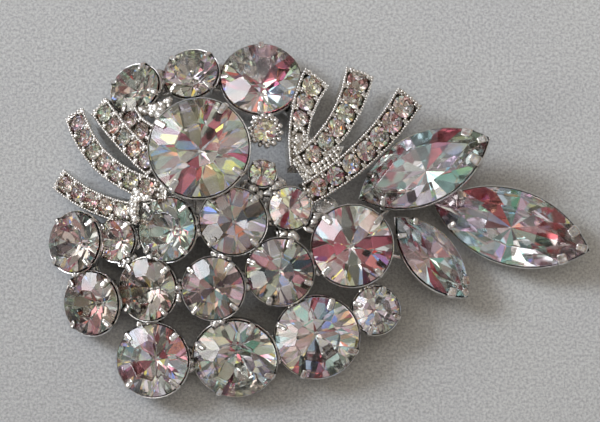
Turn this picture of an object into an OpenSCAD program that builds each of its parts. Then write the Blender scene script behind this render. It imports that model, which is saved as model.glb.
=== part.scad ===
// Domed cluster brooch: claw-set round stones, three pointed oval stones and seven strips of small stones.
// Millimetres. +X runs to the pointed oval stones, +Y to the fan of three strips, +Z out of the front.

/* [Cut] */
// Width of a stone's table for each millimetre of its width
table_share = 0.56; // [0.5:0.01:0.62]
// Height of the crown for each millimetre of width
crown_share = 0.15; // [0.12:0.01:0.18]
// Depth of the pavilion for each millimetre of width
pavilion_share = 0.4; // [0.36:0.01:0.44]
// Thickness of the girdle for each millimetre of width
girdle_share = 0.03; // [0.02:0.005:0.05]

/* [Cups] */
// Space between a stone and the metal round it
seat_gap = 0.12; // [0.1:0.02:0.2]
// Thickness of a cup's wall
cup_wall = 0.36; // [0.3:0.02:0.5]
// Thickness of a cup's floor
cup_floor = 0.45; // [0.3:0.05:0.6]
// How far a cup's rim stands above the middle of the girdle
rim_rise = 0.25; // [0.1:0.05:0.4]
// Width of a claw
claw_w = 0.9; // [0.7:0.05:1.1]
// Thickness of a claw
claw_t = 0.6; // [0.45:0.05:0.8]

/* [Strips] */
// Metal on each side of the small stones
strip_edge = 0.5; // [0.4:0.05:0.6]
// Height of a strip under the small stones' girdles
strip_h = 2.1; // [1.8:0.1:2.4]

/* [Back] */
// Thickness of the rods that join the cups
rod_d = 1.3; // [1.1:0.1:1.6]
// Length of the bar that carries the pin
bar_l = 30; // [28:1:32]
// Width of the bar
bar_w = 4.4; // [4:0.2:5]
// Thickness of the bar
bar_t = 0.8; // [0.7:0.1:1]
// Height of the bar's top over the surface that the brooch lies on
bar_top = 4; // [3.8:0.1:4.1]
// Thickness of the pin's stem
stem_d = 0.9; // [0.8:0.1:1]
// Height of the stem's axis over the surface that the brooch lies on
stem_z = 1.1; // [1:0.1:1.2]
// Place of the bar's middle along the brooch
bar_x = -12; // [-12.5:0.5:-11.5]
// Place of the bar's middle across the brooch
bar_y = 1.5; // [1:0.5:2]
// Width of each pad that the bar is soldered to
pad = 3; // [2.4:0.2:3.4]
// Solder space between a pad and the bar
pad_gap = 0.1; // [0.05:0.05:0.2]

/* [Hidden] */
// Columns of the round stones' table
NAME = 0;
X = 1;
Y = 2;
Z = 3;
WIDE = 4;
LEAN = 5;
TOWARD = 6;
TURN = 7;
// Name, place of the girdle's middle, width, lean of the front, the way it leans and the turn of the claws
ROUNDS = [
    ["main_stone", -16.6, 8.5, 15.4, 13.8, 3, 200, 58],
    ["stone_02", -26.2, 18.9, 7.2, 7.4, 26, 150, 70],
    ["stone_03", -18.2, 21.1, 7, 7.8, 20, 120, 48],
    ["stone_04", -8.2, 20.4, 6.7, 11.3, 17, 90, 0],
    ["stone_05", -7.5, 12, 10.6, 3.3, 6, 60, 45],
    ["stone_06", -7.8, 5.5, 12.4, 3.6, 4, 0, 40],
    ["stone_07", -4, 0.6, 12.06, 5.8, 8, 320, 47],
    ["stone_08", -11.9, -1.3, 12.6, 9.2, 5, 260, 45],
    ["stone_09", -21.2, -2.1, 10.5, 8.9, 28, 190, 42],
    ["stone_10", -34.6, -3.2, 6, 8.5, 30, 185, 40],
    ["stone_11", -28.6, -3.1, 7.4, 5.9, 26, 190, 45],
    ["stone_12", -32.1, -11.9, 5.75, 8.8, 30, 200, 45],
    ["stone_13", -24, -10.3, 8.5, 8.7, 25, 205, 40],
    ["stone_14", -14.7, -10.5, 10.8, 8.6, 14, 235, 50],
    ["stone_15", -5.4, -8.2, 11, 9.2, 14, 265, 70],
    ["stone_16", 4.7, -4.5, 10.9, 11.2, 8, 300, 45],
    ["stone_17", -23.3, -20, 6.2, 10.2, 16, 225, 45],
    ["stone_18", -11.7, -19.9, 6.8, 11.6, 32, 265, 65],
    ["stone_19", -0.2, -16.9, 7, 11.7, 22, 280, 70],
    ["stone_20", 8.1, -13, 6.6, 6.6, 14, 310, 73],
];

// Columns of the pointed oval stones' table, after NAME, X, Y, Z and WIDE
LONG = 5;
HEADING = 6;
ROLL = 7;
RISE = 8;
// Name, place, width, length, heading of the long axis, roll about it and rise of the outer point
NAVETTES = [
    ["navette_upper", 14.8, 6.9, 9, 10, 20, 23.6, -8, 12],
    ["navette_lower", 27.3, -1, 6, 10.4, 22.6, -17.6, 8, 3],
    ["navette_small", 16.1, -5.5, 7, 7, 15, -46.6, -12, -14],
];

// Columns of the strips' table, after NAME
COUNT = 1;
INNER = 2;
OUTER = 3;
BOW = 4;
INNER_W = 5;
OUTER_W = 6;
TILT = 7;
TAIL = 8;
// Name, stones, first and last stone's place, bow to the left of that way, the two widths, tilt and bare tail
STRIPS = [
    ["pave_left_long", 7, [-24.1, 3.9, 10.06], [-34.4, 14.2, 5], 1.6, 2.2, 2.2, -26, 1.5],
    ["pave_left_upper", 5, [-24.3, 7.8, 10.6], [-30.5, 15.3, 6.4], 0.2, 2.2, 2.2, -26, 0.5],
    ["pave_left_short", 2, [-25, 12.1, 9.6], [-26.7, 14.1, 8.2], 0.1, 2.2, 2.2, -20, 0.8],
    ["pave_left_lower", 5, [-27.9, 0.9, 8.2], [-36, 5.3, 4.8], 0.5, 2.1, 2.2, -26, 1.2],
    ["pave_fan_left", 3, [-2.5, 14.2, 8.6], [-0.9, 19.2, 7], 0.16, 2.1, 2.4, 20, 6],
    ["pave_fan_middle", 6, [-0.7, 8.6, 10.8], [5.6, 19.8, 7], -0.9, 2.2, 2.6, 20, 0.8],
    ["pave_fan_right", 7, [0, 3.7, 11.4], [12.1, 16.1, 7.5], -0.9, 2.3, 2.6, 20, 2],
];

// Where the pin's bar is soldered on: place along the bar and row of the round stone above it
LEGS = [[-19, 8], [-9, 7], [1, 15]];

// Shift that brings the middle of the whole brooch over the origin
MIDDLE = [0.14, -0.64, -1.2];
SIDES = 16;
PAVE_SIDES = 8;
BIG = 200;

function place(row) = [row[X], row[Y], row[Z]];

// Point of a pointed oval at a parameter in degrees: a circle when it is as long as it is wide
function bow_r(l, w) = (l * l + w * w) / (4 * w);
function oval_y(l, w, x) = sqrt(max(0, bow_r(l, w) * bow_r(l, w) - x * x)) - bow_r(l, w) + w / 2;
function oval_point(l, w, t) =
    let (x = l / 2 * cos(t)) [x, (sin(t) < 0 ? -1 : 1) * max(0, oval_y(l, w, x))];
function oval_ring(l, w, z, count, first) = [
    for (k = [0 : count - 1])
        let (p = oval_point(l, w, first + k * 360 / count)) [p[0], p[1], z]
];

// Stone with a table, eight kites, eight stars, sixteen girdle facets and a pavilion of eight long kites
module cut_stone(l, w) {
    crown = crown_share * w;
    half = girdle_share * w / 2;
    deep = pavilion_share * w;
    upper = 0.8;
    lower = 0.4;
    reach = cos(180 / 8);
    upper_z = crown - (upper * reach - table_share) / (1 - table_share) * (crown - half);
    lower_z = -half - (1 - lower * reach) * (deep - half);
    points = concat(
        oval_ring(l * table_share, w * table_share, crown, 8, 0),
        oval_ring(l * upper, w * upper, upper_z, 8, 22.5),
        oval_ring(l, w, half, 16, 0),
        oval_ring(l, w, -half, 16, 0),
        oval_ring(l * lower, w * lower, lower_z, 8, 22.5),
        [[0, 0, -deep]]
    );
    mid = 8;
    top = 16;
    low = 32;
    sole = 48;
    culet = 56;
    faces = concat(
        [[for (k = [7 : -1 : 0]) k]],
        [for (k = [0 : 7]) [k, (k + 1) % 8, mid + k]],
        [for (k = [0 : 7]) [k, mid + k, top + 2 * k]],
        [for (k = [0 : 7]) [k, top + 2 * k, mid + (k + 7) % 8]],
        [for (k = [0 : 7]) [mid + k, top + 2 * k + 1, top + 2 * k]],
        [for (k = [0 : 7]) [mid + k, top + (2 * k + 2) % 16, top + 2 * k + 1]],
        [for (k = [0 : 15]) [top + k, top + (k + 1) % 16, low + k]],
        [for (k = [0 : 15]) [top + (k + 1) % 16, low + (k + 1) % 16, low + k]],
        [for (k = [0 : 7]) [sole + k, low + 2 * k, low + 2 * k + 1]],
        [for (k = [0 : 7]) [sole + k, low + 2 * k + 1, low + (2 * k + 2) % 16]],
        [for (k = [0 : 7]) [culet, sole + (k + 7) % 8, low + 2 * k]],
        [for (k = [0 : 7]) [culet, low + 2 * k, sole + k]]
    );
    polyhedron(points, faces);
}

// Small stone with a table, eight crown facets and eight pavilion facets
module small_stone(w) {
    n = PAVE_SIDES;
    points = concat(
        oval_ring(w * table_share, w * table_share, crown_share * w, n, 0),
        oval_ring(w, w, 0, n, 0),
        [[0, 0, -pavilion_share * w]]
    );
    faces = concat(
        [[for (k = [n - 1 : -1 : 0]) k]],
        [for (k = [0 : n - 1]) [k, (k + 1) % n, n + (k + 1) % n, n + k]],
        [for (k = [0 : n - 1]) [2 * n, n + k, n + (k + 1) % n]]
    );
    polyhedron(points, faces);
}

// Moves a piece made round a girdle to its row's place and lean
module at_round(row) {
    translate(place(row) + MIDDLE) rotate([0, 0, row[TOWARD]]) rotate([0, row[LEAN], 0])
        rotate([0, 0, row[TURN] - row[TOWARD]]) children();
}

module at_navette(row) {
    translate(place(row) + MIDDLE) rotate([0, 0, row[HEADING]]) rotate([0, -row[RISE], 0])
        rotate([row[ROLL], 0, 0]) children();
}

// Place on a strip's line at a share of its way from the first stone to the last
function flat(v) = [v[0], v[1], 0];
function way(row) = row[OUTER] - row[INNER];
function left_of(row) = let (v = flat(way(row))) [-v[1], v[0], 0] / norm(v);
function strip_place(row, s) = row[INNER] + way(row) * s + left_of(row) * row[BOW] * 4 * s * (1 - s);
function strip_heading(row, s) =
    let (v = way(row) + left_of(row) * row[BOW] * 4 * (1 - 2 * s)) atan2(v[1], v[0]);
function strip_rise(row) = atan2(way(row)[2], norm(flat(way(row))));
function stone_w(row, s) = row[INNER_W] + (row[OUTER_W] - row[INNER_W]) * s;

module at_strip(row, s) {
    translate(strip_place(row, s) + MIDDLE) rotate([0, 0, strip_heading(row, s)])
        rotate([0, -strip_rise(row), 0]) rotate([row[TILT], 0, 0]) children();
}

// Cup before the stone's room is cut out of it: a thin rim and a wall that narrows to the foot
function cup_depth(w) = pavilion_share * w + 0.3 + cup_floor;
module cup(l, w) {
    out = 2 * (seat_gap + cup_wall);
    foot = 0.3;
    hull() {
        translate([0, 0, -0.3]) linear_extrude(0.3 + rim_rise) oval(l + out, w + out);
        translate([0, 0, -cup_depth(w)]) scale([l / w, 1, 1]) cylinder(h = 0.1, d = w * foot + out, $fn = 8);
    }
}
module oval(l, w) {
    polygon([for (k = [0 : SIDES - 1]) oval_point(l, w, k * 360 / SIDES)]);
}

// Claw: a flat finger on the outside of the cup's rim, bent over the crown and clear of it
module claw(l, w, t) {
    p = oval_point(l, w, t);
    q = oval_point(l, w, t + 1) - oval_point(l, w, t - 1);
    away = atan2(q[1], q[0]) - 90;
    inside = seat_gap + 0.1;
    outside = inside + claw_t;
    slope = (crown_share - girdle_share / 2) / (1 - table_share) * 2;
    over = 0.09 * w;
    low = girdle_share * w / 2 + 2 * seat_gap;
    side = [
        [inside, -0.26],
        [outside, -0.26],
        [outside, low + claw_t * 0.6],
        [-over, low + slope * over + claw_t],
        [-over, low + slope * over],
        [inside, low]
    ];
    translate(p) rotate([0, 0, away]) rotate([90, 0, 0]) translate([0, 0, -claw_w / 2])
        linear_extrude(claw_w) polygon(side);
}

// Room that is kept clear for a stone
module stone_room(l, w) {
    cut_stone(l + 2 * seat_gap, w + 2 * seat_gap);
}

// Body of a strip, swept through one four-cornered section at its inner end and one between each two stones
function turned(p, heading, rise, tilt) =
    let (
        y = p[1] * cos(tilt) - p[2] * sin(tilt),
        z = p[1] * sin(tilt) + p[2] * cos(tilt),
        x = p[0] * cos(rise) - z * sin(rise)
    )
    [
        x * cos(heading) - y * sin(heading),
        x * sin(heading) + y * cos(heading),
        p[0] * sin(rise) + z * cos(rise)
    ];
function strip_corner(row, s, p) =
    MIDDLE + strip_place(row, s) + turned(p, strip_heading(row, s), strip_rise(row), row[TILT]);
function strip_section(row, s) =
    let (half = stone_w(row, s) / 2 + strip_edge, top = -0.05)
    [for (p = [[0, -half, top], [0, half, top], [0, half, -strip_h], [0, -half, -strip_h]]) strip_corner(row, s, p)];
module strip_body(row) {
    n = row[COUNT];
    tail = row[TAIL] / norm(way(row));
    stops = concat([-0.5 / (n - 1) - tail], [for (k = [0 : n]) (k - 0.5) / (n - 1)]);
    last = 4 * len(stops) - 4;
    points = [for (s = stops) each strip_section(row, s)];
    faces = concat(
        [[3, 2, 1, 0], [last, last + 1, last + 2, last + 3]],
        [for (k = [0 : 4 : last - 1], j = [0 : 3]) [k + j, k + (j + 1) % 4, k + 4 + j]],
        [for (k = [0 : 4 : last - 1], j = [0 : 3]) [k + (j + 1) % 4, k + 4 + (j + 1) % 4, k + 4 + j]]
    );
    polyhedron(points, faces);
}

module strip_stones(row, more) {
    n = row[COUNT];
    for (k = [0 : n - 1]) {
        at_strip(row, k / (n - 1)) small_stone(stone_w(row, k / (n - 1)) + more);
    }
}

// Rods between the bases of cups that are near each other
function tilted(lean, toward, deep) =
    [-sin(lean) * cos(toward), -sin(lean) * sin(toward), -cos(lean)] * deep;
function round_base(row) = place(row) + tilted(row[LEAN], row[TOWARD], cup_depth(row[WIDE]) - 0.2);
function navette_base(row) = place(row) + [0, 0, 0.2 - cup_depth(row[WIDE])];
function strip_base(row) = strip_place(row, 0.3) + [0, 0, 0.7 - strip_h];
BASES = concat(
    [for (row = ROUNDS) round_base(row)],
    [for (row = NAVETTES) navette_base(row)],
    [for (row = STRIPS) strip_base(row)]
);
// The base before this one in the list that is nearest to it, so the rods make one frame
function nearest(i) =
    let (away = [for (j = [0 : i - 1]) norm(BASES[i] - BASES[j])]) search(min(away), away)[0];
module rod(a, b) {
    v = b - a;
    translate(a + MIDDLE) rotate([0, acos(v[2] / norm(v)), atan2(v[1], v[0])])
        cylinder(h = norm(v), d = rod_d, $fn = 5);
}
module rods() {
    for (i = [1 : len(BASES) - 1]) {
        rod(BASES[i], BASES[nearest(i)]);
    }
}
// Leg from a cup's base down to a flat pad on the pin's bar
module leg(x, row) {
    hull() {
        translate([x - pad / 2 + MIDDLE[0], bar_y - pad / 2 + MIDDLE[1], bar_top + pad_gap]) cube([pad, pad, 0.6]);
        translate(round_base(row) + MIDDLE - [0.5, 0.5, 0]) cube(1);
    }
}

module metalwork() {
    color("silver")
        difference() {
            union() {
                for (row = ROUNDS) {
                    at_round(row) cup(row[WIDE], row[WIDE]);
                    for (k = [0 : 3]) {
                        at_round(row) claw(row[WIDE], row[WIDE], k * 90);
                    }
                }
                for (row = NAVETTES) {
                    at_navette(row) cup(row[LONG], row[WIDE]);
                    for (t = [42, 138, 222, 318]) {
                        at_navette(row) claw(row[LONG], row[WIDE], t);
                    }
                }
                for (row = STRIPS) {
                    strip_body(row);
                }
                rods();
                for (row = LEGS) {
                    leg(row[0], ROUNDS[row[1]]);
                }
            }
            for (row = ROUNDS) {
                at_round(row) stone_room(row[WIDE], row[WIDE]);
            }
            for (row = NAVETTES) {
                at_navette(row) stone_room(row[LONG], row[WIDE]);
            }
            for (row = STRIPS) {
                strip_stones(row, 2 * seat_gap);
            }
            translate([-BIG / 2, -BIG / 2, -BIG]) cube(BIG);
        }
}

// Pin of the back, one piece: the bar, the post at each end and the pointed stem that goes through the cloth
module pin_back() {
    post = 2.6;
    low = stem_z - stem_d / 2 - 0.3;
    point = 3;
    color("gainsboro") translate([bar_x, bar_y, 0] + [MIDDLE[0], MIDDLE[1], 0]) {
        translate([-bar_l / 2 + bar_w / 2, -bar_w / 2, bar_top - bar_t]) cube([bar_l - bar_w, bar_w, bar_t]);
        for (side = [-1, 1]) {
            translate([side * (bar_l - bar_w) / 2, 0, bar_top - bar_t]) cylinder(h = bar_t, d = bar_w, $fn = 32);
            translate([side * (bar_l / 2 - post) - post / 2, -post / 2, low])
                cube([post, post, bar_top - bar_t / 2 - low]);
        }
        translate([-bar_l / 2 + post, 0, stem_z]) rotate([0, 90, 0]) cylinder(h = bar_l - post, d = stem_d, $fn = 24);
        translate([bar_l / 2, 0, stem_z]) rotate([0, 90, 0]) cylinder(h = point, d1 = stem_d, d2 = 0.2, $fn = 24);
    }
}

module set_round(row) {
    color("whitesmoke") at_round(row) cut_stone(row[WIDE], row[WIDE]);
}
module set_navette(row) {
    color("whitesmoke") at_navette(row) cut_stone(row[LONG], row[WIDE]);
}
module set_strip(row) {
    color("mistyrose") strip_stones(row, 0);
}

metalwork();
pin_back();
for (row = ROUNDS) {
    set_round(row);
}
for (row = NAVETTES) {
    set_navette(row);
}
for (row = STRIPS) {
    set_strip(row);
}
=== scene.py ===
# %% [markdown]
# A rhinestone brooch, dressed for its photograph. On the real brooch each cut stone sits in its own metal
# cup, held by four claws, and all cups are soldered to a domed frame with a pin behind it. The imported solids
# give every place and size; this lesson builds the finer shapes round them and gives them their finishes.

# %% Load the frame
import random
from collections import namedtuple
from math import asin, atan2, cos, hypot, pi, radians, sin, sqrt, tan

import bmesh
import bpy
from mathutils import Matrix, Vector


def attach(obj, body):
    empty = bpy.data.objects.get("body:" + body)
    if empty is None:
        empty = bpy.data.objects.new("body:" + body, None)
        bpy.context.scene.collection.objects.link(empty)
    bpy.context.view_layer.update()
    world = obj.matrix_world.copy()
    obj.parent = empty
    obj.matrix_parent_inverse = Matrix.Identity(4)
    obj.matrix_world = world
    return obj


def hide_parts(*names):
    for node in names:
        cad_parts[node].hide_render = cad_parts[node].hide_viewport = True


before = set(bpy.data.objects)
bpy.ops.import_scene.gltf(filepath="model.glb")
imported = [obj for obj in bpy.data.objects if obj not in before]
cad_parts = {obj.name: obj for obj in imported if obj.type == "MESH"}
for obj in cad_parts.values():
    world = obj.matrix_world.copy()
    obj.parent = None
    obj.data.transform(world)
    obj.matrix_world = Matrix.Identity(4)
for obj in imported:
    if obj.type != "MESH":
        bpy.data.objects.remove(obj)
scene = bpy.context.scene
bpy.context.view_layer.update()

# %% [markdown]
# The layout repeats the tables of the part's source, in millimetres, so that both models agree. A round stone
# has the place of its girdle's middle, its width, how far and which way its front leans, the turn of its
# claws, the tilt of its crown facets and the turn of its cut. A pointed oval has a width, a length, the
# heading of its long axis, a roll about it and the rise of its outer point. A strip has its number of stones,
# the places of the first and last one, a bow, two widths, a tilt and a bare tail.

# %% Layout tables
Round = namedtuple("Round", "name x y z width lean toward turn crown spin")
Oval = namedtuple("Oval", "name x y z width length heading roll rise")
Strip = namedtuple("Strip", "name count inner outer bow inner_w outer_w tilt tail")
ROUNDS = [
    Round("main_stone", -16.6, 8.5, 15.4, 13.8, 3, 200, 58, 26, 7),
    Round("stone_02", -26.2, 18.9, 7.2, 7.4, 26, 150, 70, 32, 16),
    Round("stone_03", -18.2, 21.1, 7, 7.8, 20, 120, 48, 32, 43),
    Round("stone_04", -8.2, 20.4, 6.7, 11.3, 17, 90, 0, 26, 37),
    Round("stone_05", -7.5, 12, 10.6, 3.3, 6, 60, 45, 26, 6),
    Round("stone_06", -7.8, 5.5, 12.4, 3.6, 4, 0, 40, 30, 27),
    Round("stone_07", -4, 0.6, 12.06, 5.8, 8, 320, 47, 32, 20),
    Round("stone_08", -11.9, -1.3, 12.6, 9.2, 5, 260, 45, 26, 32),
    Round("stone_09", -21.2, -2.1, 10.5, 8.9, 28, 190, 42, 29, 8),
    Round("stone_10", -34.6, -3.2, 6, 8.5, 30, 185, 40, 31, 20),
    Round("stone_11", -28.6, -3.1, 7.4, 5.9, 26, 190, 45, 30, 12),
    Round("stone_12", -32.1, -11.9, 5.75, 8.8, 30, 200, 45, 26, 39),
    Round("stone_13", -24, -10.3, 8.5, 8.7, 25, 205, 40, 26, 14),
    Round("stone_14", -14.7, -10.5, 10.8, 8.6, 14, 235, 50, 26, 23),
    Round("stone_15", -5.4, -8.2, 11, 9.2, 14, 265, 70, 26, 37),
    Round("stone_16", 4.7, -4.5, 10.9, 11.2, 8, 300, 45, 28, 10),
    Round("stone_17", -23.3, -20, 6.2, 10.2, 16, 225, 45, 30, 27),
    Round("stone_18", -11.7, -19.9, 6.8, 11.6, 32, 265, 65, 28, 41),
    Round("stone_19", -0.2, -16.9, 7, 11.7, 22, 280, 70, 30, 11),
    Round("stone_20", 8.1, -13, 6.6, 6.6, 14, 310, 73, 34, 37),
]
OVALS = [
    Oval("navette_upper", 14.8, 6.9, 9, 10, 20, 23.6, -8, 12),
    Oval("navette_lower", 27.3, -1, 6, 10.4, 22.6, -17.6, 8, 3),
    Oval("navette_small", 16.1, -5.5, 7, 7, 15, -46.6, -12, -14),
]
STRIPS = [
    Strip("pave_left_long", 7, (-24.1, 3.9, 10.06), (-34.4, 14.2, 5), 1.6, 2.2, 2.2, -26, 1.5),
    Strip("pave_left_upper", 5, (-24.3, 7.8, 10.6), (-30.5, 15.3, 6.4), 0.2, 2.2, 2.2, -26, 0.5),
    Strip("pave_left_short", 2, (-25, 12.1, 9.6), (-26.7, 14.1, 8.2), 0.1, 2.2, 2.2, -20, 0.8),
    Strip("pave_left_lower", 5, (-27.9, 0.9, 8.2), (-36, 5.3, 4.8), 0.5, 2.1, 2.2, -26, 1.2),
    Strip("pave_fan_left", 3, (-2.5, 14.2, 8.6), (-0.9, 19.2, 7), 0.16, 2.1, 2.4, 20, 6),
    Strip("pave_fan_middle", 6, (-0.7, 8.6, 10.8), (5.6, 19.8, 7), -0.9, 2.2, 2.6, 20, 0.8),
    Strip("pave_fan_right", 7, (0, 3.7, 11.4), (12.1, 16.1, 7.5), -0.9, 2.3, 2.6, 20, 0.4),
]
MIDDLE = Vector((0.14, -0.64, -1.2))
MM = 0.001
print(len(ROUNDS), "round stones,", len(OVALS), "navettes,", sum(row.count for row in STRIPS), "small stones")

# %% [markdown]
# A piece is modelled flat on its own bench, in millimetres, with its girdle at height 0. A frame matrix then
# carries it to its place on the dome. It could be modelled in place, but a bench keeps each profile simple,
# and since they share one matrix, a stone, its cup and its claws can never drift apart.

# %% Frames from the bench to the brooch
TO_METRES = Matrix.Scale(MM, 4)
PART = TO_METRES @ Matrix.Translation(MIDDLE)


def turn(degrees, axis):
    return Matrix.Rotation(radians(degrees), 4, axis)


def carry_to(place):
    """Carries the bench to a place given in the part's own millimetres."""
    return TO_METRES @ Matrix.Translation(place + MIDDLE)


def middle_of(row):
    return Vector((row.x, row.y, row.z))


def round_frame(row):
    leant = carry_to(middle_of(row)) @ turn(row.toward, "Z") @ turn(row.lean, "Y")
    return leant @ turn(row.turn - row.toward, "Z")


def oval_frame(row):
    return carry_to(middle_of(row)) @ turn(row.heading, "Z") @ turn(-row.rise, "Y") @ turn(row.roll, "X")


def strip_way(row):
    return Vector(row.outer) - Vector(row.inner)


def strip_frame(row, s):
    """At share s of a strip's line, X along it and Z out of its stones."""
    way = strip_way(row)
    left = Vector((-way.y, way.x, 0)).normalized()
    place = Vector(row.inner) + way * s + left * row.bow * 4 * s * (1 - s)
    along = way + left * row.bow * 4 * (1 - 2 * s)
    rise = atan2(way.z, hypot(way.x, way.y))
    heading = Matrix.Rotation(atan2(along.y, along.x), 4, "Z")
    return carry_to(place) @ heading @ Matrix.Rotation(-rise, 4, "Y") @ turn(row.tilt, "X")


def new_object(name, data):
    made = bpy.data.objects.new(name, data)
    scene.collection.objects.link(made)
    return made


def verts_in(geometry):
    return [g for g in geometry if isinstance(g, bmesh.types.BMVert)]


def bevel(bm, edges, offset, segments):
    bmesh.ops.bevel(bm, geom=edges, offset=offset, offset_type="OFFSET", affect="EDGES", segments=segments,
                    profile=0.5, material=-1)


def join(whole, part, matrix=Matrix.Identity(4)):
    """Carries a bench piece to its place and adds it to a bigger one."""
    bmesh.ops.transform(part, matrix=matrix, verts=part.verts)
    carrier = bpy.data.meshes.new("carrier")
    part.to_mesh(carrier)
    whole.from_mesh(carrier)
    bpy.data.meshes.remove(carrier)


def finish_piece(bm, name, materials, sharp=None, nodes=()):
    """Files flat what dips under the floor, makes a mesh object and lets it ride on the brooch's body."""
    for vert in bm.verts:
        vert.co.z = max(vert.co.z, 0)
    mesh = bpy.data.meshes.new(name)
    bm.to_mesh(mesh)
    bm.free()
    for material in materials:
        mesh.materials.append(material)
    if sharp is not None:
        mesh.shade_smooth()
        mesh.set_sharp_from_angle(angle=radians(sharp))
    piece = new_object(name, mesh)
    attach(piece, "root")
    if nodes:
        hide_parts(*nodes)
    print(name, len(mesh.polygons), "faces")
    return piece


# %% [markdown]
# The photograph is taken from nearly straight above, 10 degrees off, from about a third of a metre. A camera
# could be turned by its angles; here its three directions become its matrix, which shows what each one does.
# The lens follows from the width of paper that the frame takes in at that distance.

# %% Camera
ELEVATION = radians(80)
DISTANCE = 330
AIM = Vector((0, 0, 8)) + MIDDLE
AIM_LEFT = 2.606
AIM_UP = 0.915
RIGHT = Vector((1, 0, 0))
UP = Vector((0, sin(ELEVATION), cos(ELEVATION)))
BACK = Vector((0, -cos(ELEVATION), sin(ELEVATION)))
SENSOR = 36
SEEN_WIDTH = 84.507
camera_data = bpy.data.cameras.new("camera")
camera_data.sensor_width = SENSOR
camera_data.lens = SENSOR * DISTANCE / SEEN_WIDTH
camera_data.clip_start = 0.01
camera = new_object("camera", camera_data)
camera.matrix_world = Matrix((RIGHT, UP, BACK)).transposed().to_4x4()
camera.location = (AIM - AIM_LEFT * RIGHT + AIM_UP * UP + DISTANCE * BACK) * MM
scene.camera = camera
print("lens", round(camera_data.lens, 1), "mm")

# %% [markdown]
# Finishes are node trees. They can be wired by hand in the shader editor; in a script, a helper for each step
# that comes back keeps them short. Object coordinates are in metres, so a grain of a third of a millimetre
# has a scale near 3000.

# %% Helpers for node trees
def node(tree, kind, **values):
    made = tree.nodes.new("ShaderNode" + kind)
    for key, value in values.items():
        if hasattr(made, key):
            setattr(made, key, value)
        else:
            made.inputs[key.replace("_", " ")].default_value = value
    return made


def link(source, target):
    """A wire between two sockets; id_data is the tree that a socket belongs to."""
    source.id_data.links.new(source, target)


def new_material(name, **values):
    material = bpy.data.materials.new(name)
    material.use_nodes = True
    tree = material.node_tree
    tree.nodes.clear()
    output = node(tree, "OutputMaterial")
    shader = node(tree, "BsdfPrincipled", **values)
    link(shader.outputs["BSDF"], output.inputs["Surface"])
    return material, tree, shader


def grain(tree, scale, detail=4.0, rough=0.6):
    """Noise on object coordinates."""
    place = node(tree, "TexCoord")
    noise = node(tree, "TexNoise", Scale=scale, Detail=detail, Roughness=rough)
    link(place.outputs["Object"], noise.inputs["Vector"])
    return noise.outputs["Fac"]


def ramp(source, stops, way="LINEAR"):
    """Colours at places along a ramp, read with a value."""
    made = node(source.id_data, "ValToRGB")
    made.color_ramp.interpolation = way
    points = made.color_ramp.elements
    while len(points) < len(stops):
        points.new(0.5)
    for point, (place, colour) in zip(points, stops):
        point.position = place
        point.color = (*colour, 1)
    link(source, made.inputs["Fac"])
    return made.outputs["Color"]


def slope(tree, kind, way):
    """A value that grows along a way, 0.5 in the middle, on Object or Generated coordinates."""
    place = node(tree, "TexCoord")
    along = node(tree, "VectorMath", operation="DOT_PRODUCT")
    along.inputs[1].default_value = way
    link(place.outputs[kind], along.inputs[0])
    made = node(tree, "Math", operation="ADD")
    link(along.outputs["Value"], made.inputs[0])
    made.inputs[1].default_value = 0.5
    return made.outputs["Value"]


def multiply(a, b):
    made = node(a.id_data, "Mix", data_type="RGBA", blend_type="MULTIPLY", Factor=1)
    link(a, made.inputs["A"])
    link(b, made.inputs["B"])
    return made.outputs["Result"]


def bump(source, shader, distance):
    made = node(source.id_data, "Bump", Distance=distance, Strength=1.0)
    link(source, made.inputs["Height"])
    link(made.outputs["Normal"], shader.inputs["Normal"])


# %% [markdown]
# The brooch lies on plain pale paper. Fibres could be modelled, but one flat grid is enough, because paper
# this smooth shows its nap only as a fine mottle. The mottle, a faint cloud and a painted fall-off of light,
# darker towards the lower left, are multiplied, since one even grey would not look like paper.

# %% Paper floor
FLOOR_SIZE = 3.0
paper, tree, shader = new_material("pale_paper", Roughness=0.85)
mottle = ramp(grain(tree, 2600, 3, 0.75), [(0.38, (0.31, 0.312, 0.317)), (0.62, (0.5, 0.503, 0.506))])
cloud = ramp(grain(tree, 45, 2, 0.5), [(0.3, (0.93, 0.93, 0.94)), (0.7, (1, 1, 0.99))])
# painted light: the paper's colour darkens towards the lower left, as light falls off across the sheet
painted_falloff = ramp(slope(tree, "Object", (6.0, 8.0, 0)), [(0, (0.82, 0.825, 0.84)), (1, (1, 1.01, 1.03))])
toned = multiply(multiply(mottle, cloud), painted_falloff)
link(toned, shader.inputs["Base Color"])
bump(grain(tree, 2200, 4, 0.6), shader, 0.00008)
bm = bmesh.new()
bmesh.ops.create_grid(bm, x_segments=1, y_segments=1, size=FLOOR_SIZE / 2)
floor_mesh = bpy.data.meshes.new("floor")
bm.to_mesh(floor_mesh)
bm.free()
floor_mesh.materials.append(paper)
floor = new_object("floor", floor_mesh)
print("the floor is", FLOOR_SIZE, "m wide")

# %% [markdown]
# The photograph's light comes from windows on the upper left, and its shadows are soft and a little warm. One
# big lamp would give flat shadows, so five soft boxes share the work: two windows, a lamp above them, and two
# fills that no surface mirrors, a warm one from overhead and a cool one from the side. Rays that go through
# glass see only the lamp, because a window seen through a crown crumples into white splashes.

# %% Soft boxes
def soft_box(name, place, size, power, tint, mirrored=True, seen_in_glass=False):
    data = bpy.data.lights.new(name, "AREA")
    data.shape = "RECTANGLE"
    data.size, data.size_y = size
    data.energy = power
    data.color = tint
    box = new_object(name, data)
    box.location = place
    box.rotation_euler = (-Vector(place)).to_track_quat("-Z", "Y").to_euler()
    box.visible_glossy = mirrored
    box.visible_transmission = seen_in_glass


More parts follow.
